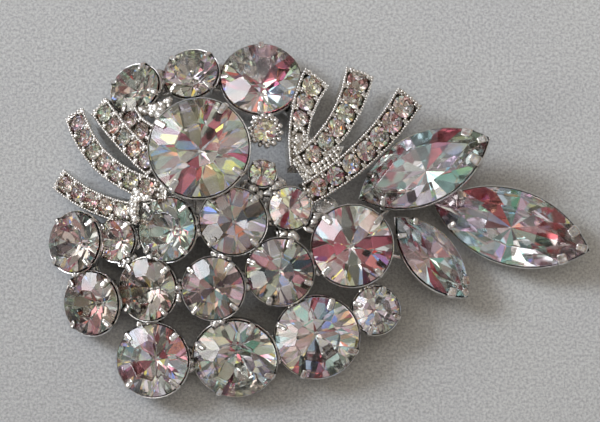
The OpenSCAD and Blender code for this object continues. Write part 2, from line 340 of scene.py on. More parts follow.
soft_box("tall_window", (-0.79, 0.456, 0.615), (0.32, 0.56), 5.2, (0.91, 0.93, 1))
soft_box("left_window", (-0.727, -0.437, 0.53), (0.28, 0.28), 1.6, (1, 0.99, 0.95))
soft_box("upper_lamp", (-0.39, 0.245, 0.59), (0.4, 0.4), 0.95, (0.98, 0.99, 1), seen_in_glass=True)
soft_box("ceiling", (0.12, 0.1, 0.95), (0.5, 0.5), 1.8, (1, 0.89, 0.74), mirrored=False)
soft_box("side_lamp", (-0.81, 0.33, 0.64), (0.3, 0.3), 6.6, (0.83, 0.92, 1), mirrored=False)
print(len(bpy.data.lights), "soft boxes")

# %% [markdown]
# Cut glass only sparkles when the room round it has bright and dark parts. A picture of a room could give
# them; here the world is built of cells instead, big ones for walls and small ones for what stands there, a
# few of them yellow, orange or blue, which the facets break into flashes. The paper gets one even warm light,
# and the camera itself sees a plain grey wall.

# %% The room's colours
def cell_value(vector, scale, channel):
    """One even random value for each cell."""
    cells = node(vector.id_data, "TexVoronoi", Scale=scale, feature="F1")
    link(vector, cells.inputs["Vector"])
    split = node(vector.id_data, "SeparateColor")
    link(cells.outputs["Color"], split.inputs["Color"])
    return split.outputs[channel]


BIG_CELLS = 6.5
SMALL_CELLS = 21
world = bpy.data.worlds.new("studio")
scene.world = world
world.use_nodes = True
tree = world.node_tree
tree.nodes.clear()
output = node(tree, "OutputWorld")
outward = node(tree, "TexCoord").outputs["Generated"]
patches = ramp(cell_value(outward, BIG_CELLS, "Red"), [
    (0.0, (0.07, 0.065, 0.06)), (0.1, (0.31, 0.3, 0.27)), (0.27, (0.34, 0.15, 0.16)),
    (0.35, (0.5, 0.43, 0.42)), (0.54, (0.44, 0.43, 0.4)), (0.74, (0.6, 0.59, 0.59)),
    (0.89, (0.92, 0.92, 0.95))], "CONSTANT")
pieces = ramp(cell_value(outward, SMALL_CELLS, "Green"), [
    (0.0, (0.45, 0.45, 0.43)), (0.2, (0.8, 0.8, 0.78)), (0.45, (1, 1, 1)), (0.7, (1.2, 1.18, 1.15)),
    (0.85, (1.6, 1.6, 1.6)), (0.93, (2.4, 2.1, 0.5)), (0.95, (2.2, 0.9, 0.5)), (0.97, (0.5, 1.0, 2.4)),
    (0.985, (0.5, 1.3, 1.2))], "CONSTANT")
sides = ramp(slope(tree, "Generated", (0.5, -0.1, -0.25)),
             [(0.25, (1.1, 1.1, 1.12)), (0.5, (1, 0.98, 0.96)), (0.85, (0.6, 0.54, 0.48))])
room = node(tree, "Background", Strength=0.95)
wall = node(tree, "Background", Color=(0.5, 0.5, 0.5, 1), Strength=1.0)
warm = node(tree, "Background", Color=(0.5, 0.445, 0.365, 1), Strength=0.64)
rays = node(tree, "LightPath")
bounced = node(tree, "MixShader")
mix = node(tree, "MixShader")
link(multiply(multiply(patches, pieces), sides), room.inputs["Color"])
link(rays.outputs["Is Camera Ray"], mix.inputs["Fac"])
link(rays.outputs["Is Diffuse Ray"], bounced.inputs["Fac"])
link(room.outputs["Background"], bounced.inputs[1])
link(warm.outputs["Background"], bounced.inputs[2])
link(bounced.outputs["Shader"], mix.inputs[1])
link(wall.outputs["Background"], mix.inputs[2])
link(mix.outputs["Shader"], output.inputs["Surface"])
scene.view_settings.view_transform = "Standard"
scene.view_settings.look = "None"
scene.view_settings.exposure = 0.0
scene.cycles.max_bounces = 20
scene.cycles.glossy_bounces = 12
scene.cycles.transmission_bounces = 16
print("the room has", len(tree.nodes), "nodes")

# %% [markdown]
# The metal is plated bright. The Ambient Occlusion node keeps it brightest on open places and turns it
# grey-brown to near black deep between other surfaces: partly rubbing, tarnish and dirt that stay in corners,
# and partly painted shade. One plain grey would look like plastic, so roughness and tone both follow fine
# noise. The strips' metal is duller, and its painted shade in corners stays pale.

# %% Plated metal
def plated(name, bright, tarnish_and_shade, rough):
    material, tree, shader = new_material(name, Metallic=1)
    # tarnish and painted shade: the tone darkens where other surfaces are near
    depth = node(tree, "AmbientOcclusion", Distance=0.0012)
    depth.samples = 4
    open_part = ramp(depth.outputs["AO"], [(0.25, (0, 0, 0)), (0.9, (1, 1, 1))])
    tone = node(tree, "Mix", data_type="RGBA")
    link(open_part, tone.inputs["Factor"])
    tone.inputs["A"].default_value = (*tarnish_and_shade, 1)
    patch = ramp(grain(tree, 700), [(0.35, tuple(v * 0.88 for v in bright)), (0.65, bright)])
    link(patch, tone.inputs["B"])
    link(tone.outputs["Result"], shader.inputs["Base Color"])
    gloss = ramp(grain(tree, 2500), [(0.3, (rough[0],) * 3), (0.7, (rough[1],) * 3)])
    link(gloss, shader.inputs["Roughness"])
    bump(grain(tree, 1800), shader, 0.00002)
    return material


silver = plated("plated_silver", (0.84, 0.83, 0.81), (0.09, 0.08, 0.065), (0.09, 0.24))
strip_silver = plated("plated_strip", (0.9, 0.89, 0.86), (0.6, 0.57, 0.52), (0.16, 0.36))
pin_silver = plated("plated_pin", (0.85, 0.84, 0.82), (0.2, 0.19, 0.17), (0.12, 0.3))
print("metals:", silver.name, strip_silver.name, pin_silver.name)

# %% [markdown]
# A rhinestone is clear glass with a mirror foil behind its pavilion. It could be a glass shell over a cone of
# foil, but one closed mesh with two finishes has no gap to go wrong: the crown and girdle are glass, and the
# pavilion's faces are foil, seen through the glass. Both read each facet's colour from the attribute "tint",
# which holds painted reflections and painted fire, and a thin haze of handling takes the hard edge off the
# glass.

# %% Glass and foil
GLASS_IOR = 1.58


def tint_of(tree):
    return node(tree, "VertexColor", layer_name="tint").outputs["Color"]


glass, tree, shader = new_material("cut_glass", Transmission_Weight=1, IOR=GLASS_IOR)
smear = ramp(grain(tree, 420), [(0.35, (0.94, 0.94, 0.93)), (0.65, (1.0, 1.0, 1.0))])
link(multiply(tint_of(tree), smear), shader.inputs["Base Color"])
haze = ramp(grain(tree, 420), [(0.35, (0.025, 0.025, 0.025)), (0.65, (0.04, 0.04, 0.04))])
link(haze, shader.inputs["Roughness"])

foil, tree, shader = new_material("mirror_foil", Metallic=1)
# the foil's mirror is tinted with the facet's painted reflection
link(tint_of(tree), shader.inputs["Base Color"])
worn = ramp(grain(tree, 900), [(0.4, (0.04, 0.04, 0.04)), (0.8, (0.12, 0.12, 0.12))])
link(worn, shader.inputs["Roughness"])
print("stones:", glass.name, foil.name)

# %% [markdown]
# The room's coloured cells mirror in the foil, and painted reflections on top of them break each stone into
# grey-green, plum and near-black patches, with a few facets painted yellow, orange or blue as flashes of fire.
# Chance alone could give one stone ten red facets, so the tints are dealt like cards: a table gives their
# shares of a stone, and the pack is shuffled.

# %% Painted reflections and fire on the facets
# Painted reflections: shares and colours that the foil's mirror is tinted with, one table per kind of stone.
REFLECTION_TINTS = [
    (30, (0.97, 0.98, 0.95)), (13, (0.85, 0.83, 0.78)), (13, (0.86, 0.9, 0.85)), (7, (0.64, 0.3, 0.32)),
    (9, (0.87, 0.76, 0.74)), (8, (0.62, 0.64, 0.58)), (5, (0.24, 0.23, 0.22)), (1, (0.5, 0.7, 0.7)),
]
BRIGHT_TINTS = [
    (32, (0.97, 0.98, 0.96)), (14, (0.88, 0.92, 0.89)), (7, (0.7, 0.22, 0.27)), (9, (0.9, 0.8, 0.79)),
    (6, (0.68, 0.7, 0.66)), (3, (0.26, 0.26, 0.25)), (2, (0.5, 0.72, 0.73)),
]
DARK_REFLECTION_TINTS = [
    (20, (0.93, 0.92, 0.9)), (14, (0.78, 0.73, 0.68)), (10, (0.74, 0.77, 0.72)), (8, (0.6, 0.31, 0.33)),
    (10, (0.8, 0.68, 0.66)), (9, (0.56, 0.55, 0.5)), (8, (0.22, 0.21, 0.2)), (1, (0.45, 0.64, 0.66)),
]
WARM_TINTS = [
    (36, (1, 0.99, 0.95)), (20, (0.98, 0.94, 0.88)), (10, (0.93, 0.82, 0.79)), (8, (0.92, 0.93, 0.85)),
    (3, (0.7, 0.38, 0.4)),
]
# Painted fire: flashes of spectral colour painted onto a few facets.
PAINTED_FIRE_TINTS = [
    (4, (0.3, 0.5, 1)), (4, (0.75, 0.65, 1)), (2, (1, 0.95, 0.3)), (1, (1, 0.5, 0.22)), (1, (0.4, 0.95, 0.8)),
]
OVAL_TINTS = [
    (40, (0.98, 0.98, 0.97)), (6, (0.66, 0.18, 0.22)), (3, (0.5, 0.74, 0.72)), (1, (0.28, 0.27, 0.25)),
    (14, (0.88, 0.9, 0.9)), (6, (0.88, 0.78, 0.76)), (4, (0.72, 0.73, 0.67)),
]
CLEAR = (0.98, 0.98, 0.98)
# Shares of foil facets and of crown facets that get painted fire.
PAINTED_FIRE_ON_FOIL = 0.035
PAINTED_FIRE_ON_GLASS = 0.07
FADE = (0.72, 1.02)


def deal(dice, table, count):
    """Tints in their shares of the table, shuffled."""
    total = sum(row[0] for row in table)
    tints = [row[1] for row in table for k in range(round(count * row[0] / total))]
    tints += [table[0][1]] * (count - len(tints))
    dice.shuffle(tints)
    return tints


# the foil tints are painted reflections
print("a plain stone has", len(REFLECTION_TINTS), "foil tints and", len(PAINTED_FIRE_TINTS), "kinds of fire")

# %% [markdown]
# Stones are cut as a lapidary cuts them: a blank is ground with one flat plane after another. A facet's
# corners could be worked out instead, but bisect_plane takes away all that lies outside a plane and the cut
# is closed with one face, so every facet is truly flat and flashes as a whole.

# %% Grinding facets
GIRDLE_HALF = 0.012
GIRDLE_REACH = 0.497


def grind(bm, point, normal):
    geometry = bm.verts[:] + bm.edges[:] + bm.faces[:]
    cut = bmesh.ops.bisect_plane(bm, geom=geometry, dist=1e-5, plane_co=point, plane_no=normal,
                                 clear_outer=True)
    edges = [g for g in cut["geom_cut"] if isinstance(g, bmesh.types.BMEdge)]
    if len(edges) > 2:
        bmesh.ops.contextual_create(bm, geom=edges)


def grind_round(bm, azimuth, tilt, side, reach=GIRDLE_REACH, z=None):
    """A facet through the girdle's edge, its normal tilted from straight up, or down when side is -1."""
    a, t = radians(azimuth), radians(tilt)
    point = Vector((cos(a) * reach, sin(a) * reach, side * GIRDLE_HALF if z is None else z))
    grind(bm, point, Vector((cos(a) * sin(t), sin(a) * sin(t), side * cos(t))))


# %% [markdown]
# A ground stone then gets its finishes. Polishing rounds the crown's edges a hair, and a small bevel does so
# here, which gives each edge its thin bright line. The facets that look down are foil. Each facet gets a
# painted reflection tint; one flat tint a facet would look flat, so it fades from one corner to the far side,
# as a mirrored room does.

# %% Finishes of a stone
FOIL_UNDER = -0.2
TABLE_OVER = 0.97


def tint_face(face, layer, colour, other):
    """Blends two tints across a facet, from one of its corners to its far side."""
    start = face.loops[0].vert.co
    reach = max((loop.vert.co - start).length for loop in face.loops)
    for loop in face.loops:
        share = (loop.vert.co - start).length / reach
        loop[layer] = (*[a + (b - a) * share for a, b in zip(colour, other)], 1)


def dress(bm, seed, soften, painted_reflections):
    """Bevels the crown's edges a hair, and gives each facet its finish and its painted reflection tint."""
    crown = [e for e in bm.edges if all(v.co.z > GIRDLE_HALF * 0.2 for v in e.verts)]
    if soften:
        bevel(bm, crown, soften, 1)
    bmesh.ops.recalc_face_normals(bm, faces=bm.faces)
    tint = bm.loops.layers.float_color.new("tint")
    dice = random.Random(seed)
    tints = deal(dice, painted_reflections, sum(face.normal.z < FOIL_UNDER for face in bm.faces))
    for face in bm.faces:
        is_foil = face.normal.z < FOIL_UNDER
        is_table = face.normal.z > TABLE_OVER
        face.material_index = int(is_foil)
        base = tints.pop() if is_foil else CLEAR
        # painted fire on a few facets, and painted reflections faded at random on the foil
        has_painted_fire = dice.random() < (PAINTED_FIRE_ON_FOIL if is_foil else PAINTED_FIRE_ON_GLASS) and not is_table
        painted_fire = Vector(dice.choices([row[1] for row in PAINTED_FIRE_TINTS], [row[0] for row in PAINTED_FIRE_TINTS])[0])
        if is_foil:
            painted_fire = (painted_fire + Vector(CLEAR)) / 2
        faded = [v * dice.uniform(*FADE) for v in base] if is_foil else base
        tint_face(face, tint, base, painted_fire if has_painted_fire else faded)


# %% [markdown]
# A round stone has a flat table, a crown of kite facets and a deep pavilion down to a small culet. A turned
# cone would have the outline but none of the flashes. It is cut 1 wide from a short cylinder and scaled to
# each stone's width. Its seed is its number, except where another shuffle came nearer to the photograph.

# %% Round stones
PAVILION_TILT = 40
LOWER_TILT = 42
EXTRA_TILT = 41.2
INNER_TILT = 36
INNER_REACH = 0.16
INNER_Z = -0.305
TABLE_HIGH = 0.15
CULET_DEEP = 0.405
SOFTEN = 0.004


def cut_round(seed, crown, painted_reflections, sides=8, blank=48, soften=SOFTEN):
    """A round stone 1 wide; six sides leave out the extra pavilion facets."""
    bm = bmesh.new()
    bmesh.ops.create_cone(bm, cap_ends=True, segments=blank, radius1=0.5, radius2=0.5, depth=1)
    step = 360 / sides
    for k in range(sides):
        grind_round(bm, k * step, crown, 1)
        grind_round(bm, (k + 0.5) * step, crown + 6, 1)
        grind_round(bm, k * step, PAVILION_TILT, -1)
        grind_round(bm, (k + 0.5) * step, LOWER_TILT, -1)
        if sides == 8:
            grind_round(bm, (k + 0.25) * step, EXTRA_TILT, -1)
            grind_round(bm, (k + 0.75) * step, EXTRA_TILT, -1)
            grind_round(bm, (k + 0.5) * step, INNER_TILT, -1, INNER_REACH, INNER_Z)
    grind(bm, Vector((0, 0, TABLE_HIGH)), Vector((0, 0, 1)))
    grind(bm, Vector((0, 0, -CULET_DEEP)), Vector((0, 0, -1)))
    dress(bm, seed, soften, painted_reflections)
    return bm


STONE_FINISHES = [glass, foil]
# stones that get darker painted reflections
DARK_REFLECTION_STONES = ("stone_08", "stone_12", "stone_13", "stone_14", "stone_15")
BIG = 11
SMALL = 6
CHOSEN_SEEDS = {"main_stone": 33, "stone_04": 51, "stone_18": 47, "stone_08": 61}


def painted_reflections_of(row):
    """Painted reflections: warm on small stones, darker on the stones listed as dark, and clear on the
    biggest.
    """
    if row.width < SMALL:
        return WARM_TINTS
    if row.name in DARK_REFLECTION_STONES:
        return DARK_REFLECTION_TINTS
    return BRIGHT_TINTS if row.width > BIG else REFLECTION_TINTS


for number, row in enumerate(ROUNDS):
    stone = cut_round(CHOSEN_SEEDS.get(row.name, number), row.crown, painted_reflections_of(row))
    whole = bmesh.new()
    join(whole, stone, round_frame(row) @ turn(row.spin, "Z") @ Matrix.Scale(row.width, 4))
    finish_piece(whole, row.name + "_cut", STONE_FINISHES, nodes=[row.name])

# %% [markdown]
# A navette, the pointed oval, has the outline of two arcs that meet. A round stone squeezed flat would have
# no points, so it is cut from a block of its own: ground first, upright, with planes along both arcs, and
# then with planes that touch the arcs, tilted by set angles for the crown and aimed at the culet below.

# %% Pointed ovals
OVAL_CULET = 0.4
OVAL_EDGE_CUTS = range(-6, 7)
OVAL_CROWN = ((-0.9, 33), (-0.54, 30), (-0.18, 30), (0.18, 30), (0.54, 30), (0.9, 33),
              (-0.72, 36), (-0.36, 36), (0, 36), (0.36, 36), (0.72, 36))
OVAL_PAVILION = ((-0.85, 1), (-0.5, 1), (-0.17, 1), (0.17, 1), (0.5, 1), (0.85, 1), (-0.33, 1.1), (0.33, 1.1))


def arc_radius(length, width):
    return (length * length + width * width) / (4 * width)


def arc_point(length, width, angle, side):
    """Point of the outline's arc at an angle from its middle, and the arc's outward normal there."""
    radius = arc_radius(length, width)
    a = radians(angle)
    normal = Vector((sin(a), side * cos(a), 0))
    return normal * radius - Vector((0, side * (radius - width / 2), 0)), normal


def cut_oval(length, width, seed):
    """A pointed oval stone in full size; facets are placed by shares of the half arc's angle."""
    bm = bmesh.new()
    bmesh.ops.create_cube(bm, size=length * 1.2)
    half = asin(length / 2 / arc_radius(length, width)) * 180 / pi
    girdle = Vector((0, 0, GIRDLE_HALF * width))
    culet = Vector((0, 0, -OVAL_CULET * width))
    for side in (-1, 1):
        for k in OVAL_EDGE_CUTS:
            point, normal = arc_point(length, width, k * half / 6.5, side)
            grind(bm, point, normal)
    for side in (-1, 1):
        for share, tilt in OVAL_CROWN:
            point, normal = arc_point(length, width, share * half, side)
            t = radians(tilt)
            grind(bm, point + girdle, normal * sin(t) + Vector((0, 0, cos(t))))
        for share, deep in OVAL_PAVILION:
            point, normal = arc_point(length, width, share * half, side)
            along = Vector((-normal.y, normal.x, 0))
            facing = along.cross(culet * deep - (point - girdle))
            if facing.dot(normal) < 0:
                facing.negate()
            grind(bm, point - girdle, facing.normalized())
    grind(bm, Vector((0, 0, TABLE_HIGH * width)), Vector((0, 0, 1)))
    # painted reflections from the ovals' own table
    dress(bm, seed, SOFTEN * width, OVAL_TINTS)
    return bm


OVAL_SEEDS = (80, 86, 82)
for seed, row in zip(OVAL_SEEDS, OVALS):
    stone = cut_oval(row.length, row.width, seed)
    whole = bmesh.new()
    join(whole, stone, oval_frame(row))
    finish_piece(whole, row.name + "_cut", STONE_FINISHES, nodes=[row.name])

# %% [markdown]
# The strips' small stones are the same glass, about 2 mm wide. The full cut would be lost at this size, so
# they have six sides and no bevel. They are a little wider than the solids' stones, to reach the channel's
# walls, and the fan's stones grow outwards. One strip's stones make one piece.

# %% Small stones
SMALL_CROWN = 32
SNUG = 1.1
FAN_SNUG = 0.14
for number, row in enumerate(STRIPS):
    whole = bmesh.new()
    for k in range(row.count):
        s = k / (row.count - 1)
        width = row.inner_w + (row.outer_w - row.inner_w) * s
        # painted reflections from the warm table
        stone = cut_round(100 + number * 10 + k, SMALL_CROWN, WARM_TINTS, 6, 24, 0)
        snug = SNUG + (FAN_SNUG * s if "fan" in row.name else 0)
        join(whole, stone, strip_frame(row, s) @ turn(37 * k, "Z") @ Matrix.Scale(width * snug, 4))
    finish_piece(whole, row.name + "_cut", STONE_FINISHES, nodes=[row.name])

# %% [markdown]
# A cup is spun from sheet metal: a foot, a flared wall and a thin lip. The lip stands lower than the girdle,
# so the glass hides it on one side, and on the side of a stone's lean a dark crescent shows between the two,
# as in the photograph. A cone with a Solidify would have one wall everywhere; here the section is a line of
# points, inside and out, that spin turns once round.

# %% Round cups
LIP_OUT = 0.33
CUP_STEPS = 44


def foot_deep(width):
    return 0.4 * width + 0.75


def cup_profile(width):
    """Radius and height of each point of a cup's section, from the middle inside to the middle outside."""
    r, deep, foot = width / 2, foot_deep(width), 0.15 * width + 0.35
    drop = min(0.3, 0.03 * width + 0.1)
    return [
        (0, -0.42 * width - 0.2), (0.1 * r, -0.42 * width - 0.2), (0.55 * r + 0.1, -0.27 * width - 0.1),
        (0.9 * r + 0.02, -0.12 * width - 0.1), (r - 0.02, -drop - 0.6), (r + 0.1, -drop - 0.1),
        (r + 0.12, -drop), (r + 0.15, -drop + 0.06), (r + LIP_OUT - 0.09, -drop + 0.08),
        (r + LIP_OUT - 0.02, -drop), (r + LIP_OUT, -drop - 0.1), (r + LIP_OUT, -drop - 0.5),
        (r + LIP_OUT - 0.06, -drop - 0.7),
        (foot + 0.55 * (r - foot) + 0.2, -0.52 * deep), (foot + 0.05, -deep + 0.2), (foot - 0.1, -deep),
        (0, -deep),
    ]


def spin_round(profile):
    bm = bmesh.new()
    points = [bm.verts.new((r, 0, z)) for r, z in profile]
    lines = [bm.edges.new(pair) for pair in zip(points, points[1:])]
    bmesh.ops.spin(bm, geom=points + lines, cent=(0, 0, 0), axis=(0, 0, 1), dvec=(0, 0, 0), angle=2 * pi,
                   steps=CUP_STEPS, use_merge=True, use_normal_flip=False, use_duplicate=False)
    bmesh.ops.remove_doubles(bm, verts=bm.verts, dist=1e-4)
    bmesh.ops.recalc_face_normals(bm, faces=bm.faces)
    return bm


whole = bmesh.new()
for row in ROUNDS:
    join(whole, spin_round(cup_profile(row.width)), round_frame(row))
finish_piece(whole, "round_cups", [silver], sharp=40, nodes=["metalwork"])

# %% [markdown]
# Where two cups come close, solder has run between them and set in lumps. A smooth bridge would look cast, so
# each joint is a row of six small balls below the lips. Dice pull every ball out of shape, point by point; it
# is smoothed once, stretched towards both rims and turned askew. From above they make bright, untidy bridges.

# %% Solder joints
SOLDER_GAP = 1.3
SOLDER_STEP = 3
LUMPS_ACROSS = (-1.2, -0.7, -0.2, 0.3, 0.8, 1.3)
solder_dice = random.Random(21)


def lump(size):
    bm = bmesh.new()
    bmesh.ops.create_uvsphere(bm, u_segments=9, v_segments=7, radius=1)
    for vert in bm.verts:
        vert.co *= solder_dice.uniform(0.7, 1.25)
    bmesh.ops.smooth_vert(bm, verts=bm.verts, factor=0.4, use_axis_x=True, use_axis_y=True, use_axis_z=True)
    bmesh.ops.transform(bm, matrix=Matrix.Diagonal((*size, 1)), verts=bm.verts)
    return bm


def rim_of(row, way):
    """The place on a stone's rim that faces a level direction."""
    level = round_frame(row).to_3x3().inverted() @ way
    level.z = 0
    return round_frame(row) @ (level.normalized() * (row.width / 2 + 0.2)) / MM


whole = bmesh.new()
joints = 0
for k, row in enumerate(ROUNDS):
    for other in ROUNDS[:k]:
        way = Vector((other.x - row.x, other.y - row.y, 0))
        a, b = rim_of(row, way), rim_of(other, -way)
        if hypot(b.x - a.x, b.y - a.y) > SOLDER_GAP or abs(a.z - b.z) > SOLDER_STEP:
            continue
        joints += 1
        heading = Matrix.Rotation(atan2(way.y, way.x), 4, "Z")
        for side in LUMPS_ACROSS:
            low = min(a.z, b.z) - solder_dice.uniform(0.1, 0.7) - 0.3 * abs(side)
            across = side * solder_dice.uniform(0.7, 1.2)
            place = (a + b) / 2 + across * Vector((-way.y, way.x, 0)).normalized()
            place.z = low
            reach = (b - a).to_2d().length / 2 + 0.25 + 0.2 * abs(side)
            size = (reach, solder_dice.uniform(0.45, 0.85), solder_dice.uniform(0.4, 0.65))
            skew = turn(solder_dice.uniform(-50, 50), "Z")
            join(whole, lump(size), TO_METRES @ Matrix.Translation(place) @ heading @ skew)
print(joints, "soldered joints")
finish_piece(whole, "solder_joints", [silver], sharp=80)

# %% [markdown]
# A navette's cup follows its pointed outline, so it can't be spun. It has a round cup's section, but is drawn
# through rings of points: a circle of edges is extruded once for each ring and moved onto it, and the two
# ends are closed.

# %% Pointed cups
def draw_through(rings):
    bm = bmesh.new()
    order = bmesh.ops.create_circle(bm, segments=len(rings[0]), radius=1)["verts"]
    for vert, place in zip(order, rings[0]):
        vert.co = place
    edges = bm.edges[:]
    bmesh.ops.contextual_create(bm, geom=order)
    for ring in rings[1:]:
        made = bmesh.ops.extrude_edge_only(bm, edges=edges)["geom"]
        fresh = verts_in(made)
        edges = [g for g in made if isinstance(g, bmesh.types.BMEdge) and all(v in fresh for v in g.verts)]
        order = [min(fresh, key=lambda v, o=old: (v.co - o.co).length) for old in order]
        for vert, place in zip(order, ring):
            vert.co = place
    bmesh.ops.contextual_create(bm, geom=order)
    bmesh.ops.recalc_face_normals(bm, faces=bm.faces)
    return bm


RING = 48


def outline_ring(length, width, grow, z):
    """A pointed outline grown or shrunk by a distance, as a ring of points at a height."""
    wide = width + 2 * grow
    long = length * (wide / width) if grow < 0 else length + 2 * grow
    radius = arc_radius(long, wide)
    ring = []
    for k in range(RING):
        x = long / 2 * cos(2 * pi * k / RING)
        y = max(0, sqrt(max(0, radius * radius - x * x)) - radius + wide / 2)
        ring.append(Vector((x, y if k <= RING / 2 else -y, z)))
    return ring


whole = bmesh.new()
for row in OVALS:
    section = cup_profile(row.width)[1:-1]
    rings = [outline_ring(row.length, row.width, r - row.width / 2, z) for r, z in section]
    join(whole, draw_through(rings), oval_frame(row))
finish_piece(whole, "pointed_cups", [silver], sharp=40)

# %% [markdown]
# Each claw is a finger of the cup's metal, bent over the crown by hand, so no two reach equally far. A bent
# box would keep sharp corners, so it is drawn out of one small face, section by section, and a Subdivision
# Surface rounds it as polishing does. The smallest stone has none: its ring of beads holds it.

# %% Claws
Section = namedtuple("Section", "out up width thick lean")
claw_dice = random.Random(5)


def claw_sections(width, crown, broad):
    over = (0.07 * width + 0.45) * claw_dice.uniform(0.85, 1.15)
    wide = (0.03 * width + 0.54) * claw_dice.uniform(0.88, 1.15) * broad
    rise = tan(radians(crown))
    seat = GIRDLE_HALF * width + 0.05
    thick = 0.34
    return [
        Section(0.1, -1.7, 0.9 * wide, 0.3, 10),
        Section(0.26, -1.0, wide, 0.34, 4),
        Section(0.3, -0.1, wide, 0.36, 0),
        Section(0.26, 0.22, wide, 0.38, 22),
        Section(0.06, seat + 0.4, wide, 0.38, 52),
        Section(-0.4 * over, seat + 0.4 * over * rise + thick / 2, wide, thick, 60),
        Section(-0.8 * over, seat + 0.8 * over * rise + thick / 2, 0.94 * wide, thick * 0.9, 62),
        Section(-over, seat + over * rise + thick / 3, 0.7 * wide, thick * 0.5, 70),
    ]


def claw(width, crown, broad=1):
    bm = bmesh.new()
    bmesh.ops.create_grid(bm, x_segments=1, y_segments=1, size=0.5)
    last = Matrix.Identity(4)
    face = bm.faces[:]
    for s in claw_sections(width, crown, broad):
        size = Matrix.Diagonal((s.thick, s.width, 1, 1))
        now = Matrix.Translation((s.out, 0, s.up)) @ turn(-s.lean, "Y") @ size
        if last != Matrix.Identity(4):
            made = bmesh.ops.extrude_face_region(bm, geom=face)["geom"]
            bmesh.ops.delete(bm, geom=face, context="FACES_ONLY")
            face = [g for g in made if isinstance(g, bmesh.types.BMFace)]
        verts = list({v for f in face for v in f.verts})
        bmesh.ops.transform(bm, matrix=now @ last.inverted(), verts=verts)
        last = now
    bmesh.ops.contextual_create(bm, geom=[e for e in bm.edges if e.is_boundary])
    bmesh.ops.recalc_face_normals(bm, faces=bm.faces)
    return bm


def oval_claw_frame(row, angle):
    a = radians(angle)
    x = row.length / 2 * cos(a)
    radius = arc_radius(row.length, row.width)
    side = 1 if sin(a) > 0 else -1
    y = side * (sqrt(radius * radius - x * x) - radius + row.width / 2)
    normal = atan2(y + side * (radius - row.width / 2), x)
    return oval_frame(row) @ Matrix.Translation((x, y, 0)) @ Matrix.Rotation(normal, 4, "Z")


whole = bmesh.new()
for row in ROUNDS:
    for k in range(0 if row.name == "stone_05" else 4):
        join(whole, claw(row.width, row.crown), round_frame(row) @ turn(90 * k, "Z")
             @ Matrix.Translation((row.width / 2, 0, 0)))
for row in OVALS:
    for angle, crown, broad in ((138, 30, 1), (222, 30, 1), (38, 32, 1.8), (318, 32, 1.8)):
        join(whole, claw(row.width, crown, broad), oval_claw_frame(row, angle))
    tip = Matrix.Translation((row.length / 2 - 0.5, 0, 0))
    join(whole, claw(row.width, 26, 1.3), oval_frame(row) @ tip)
claws = finish_piece(whole, "claws", [silver], sharp=80)
rounding = claws.modifiers.new("rounding", "SUBSURF")
rounding.levels = rounding.render_levels = 2

# %% [markdown]
# A strip is a cast channel with thin walls that the small stones fill. It could be a curve with a bevel
# profile, but its floor has to rise and close both ends, so one section is drawn along the strip's line with
# the same helper as the pointed cups. A strip's bare tail keeps a shallow floor, and a cast plate closes the
# fan where its three strips meet.

# %% Strip channels
STRIP_DEEP = 2.1
STRIP_EDGE = 0.5
RIM_HIGH = 0.16
RIM_THICK = 0.18
CHANNEL_DEEP = 1.1
TAIL_DEEP = 0.25
END_WALL = 0.2
FLARE = 0.3


def strip_section(half, floor_z):
    """Points across a strip: outer walls, rims and the channel between them."""
    low = min(floor_z, 0)
    side = [(half - 0.2, -STRIP_DEEP), (half, -0.9), (half, RIM_HIGH - 0.06), (half - 0.06, RIM_HIGH),
            (half - RIM_THICK, RIM_HIGH), (half - RIM_THICK - 0.04, low * 0.1 + 0.02),
            (max(0.15, half - RIM_THICK - 0.1 + 0.95 * low), floor_z)]
    return [Vector((0, y, z)) for y, z in side + [(-y, z) for y, z in reversed(side)]]


def strip_half(row, s):
    """Half a strip's width; the fan's strips flare towards their outer ends."""
    flare = FLARE * max(0, s) if "fan" in row.name else 0
    return (row.inner_w + (row.outer_w - row.inner_w) * s) / 2 + STRIP_EDGE + flare


def strip_ends(row):
    """Shares of the strip's line at its two ends."""
    return -0.5 / (row.count - 1) - row.tail / strip_way(row).length, 1 + 0.55 / (row.count - 1)


def channel(row):
    first, last = strip_ends(row)
    wall = END_WALL / strip_way(row).length
    steps = 4 * row.count
    stops = [(first, RIM_HIGH), (first + wall, RIM_HIGH)]
    for k in range(steps + 1):
        s = first + wall * 1.2 + (last - first - wall * 2.4) * k / steps
        is_tail = s < -0.55 / (row.count - 1)
        stops.append((s, -TAIL_DEEP if is_tail else -CHANNEL_DEEP))
    stops += [(last - wall, RIM_HIGH), (last, RIM_HIGH)]
    rings = []
    for s, floor_z in stops:
        matrix = strip_frame(row, s)
        rings.append([matrix @ p for p in strip_section(strip_half(row, s), floor_z)])
    return draw_through(rings)


FAN_PLATE = [(-4, 8.4), (-1, 3.2), (1.2, 4.2), (3.6, 9.9), (-2.2, 9.9)]
PLATE_TOP = 10.5
PLATE_SLOPE = 0.13
PLATE_THICK = 0.9


def fan_plate():
    """The plate at the fan's base, in the part's own millimetres."""
    bm = bmesh.new()
    bmesh.ops.create_circle(bm, cap_ends=True, segments=len(FAN_PLATE), radius=1)
    for vert, (x, y) in zip(bm.verts, FAN_PLATE):
        vert.co = (x, y, PLATE_TOP - PLATE_SLOPE * (y - 3.2))
    made = bmesh.ops.extrude_face_region(bm, geom=bm.faces[:])["geom"]
    bmesh.ops.translate(bm, verts=verts_in(made), vec=(0, 0, -PLATE_THICK))
    bmesh.ops.recalc_face_normals(bm, faces=bm.faces)
    return bm


whole = bmesh.new()
for row in STRIPS:
    join(whole, channel(row))
join(whole, fan_plate(), PART)
finish_piece(whole, "strip_channels", [strip_silver], sharp=40)

# %% [markdown]
# The strips' edges are milled into tiny beads, and bigger grains hold the small stones at the four corners
# between two neighbours. A bump pattern would cost less, but it would not sparkle at the outline, so each is
# a real ball, of a few dozen faces because there are more than a thousand. No two have quite the same size.

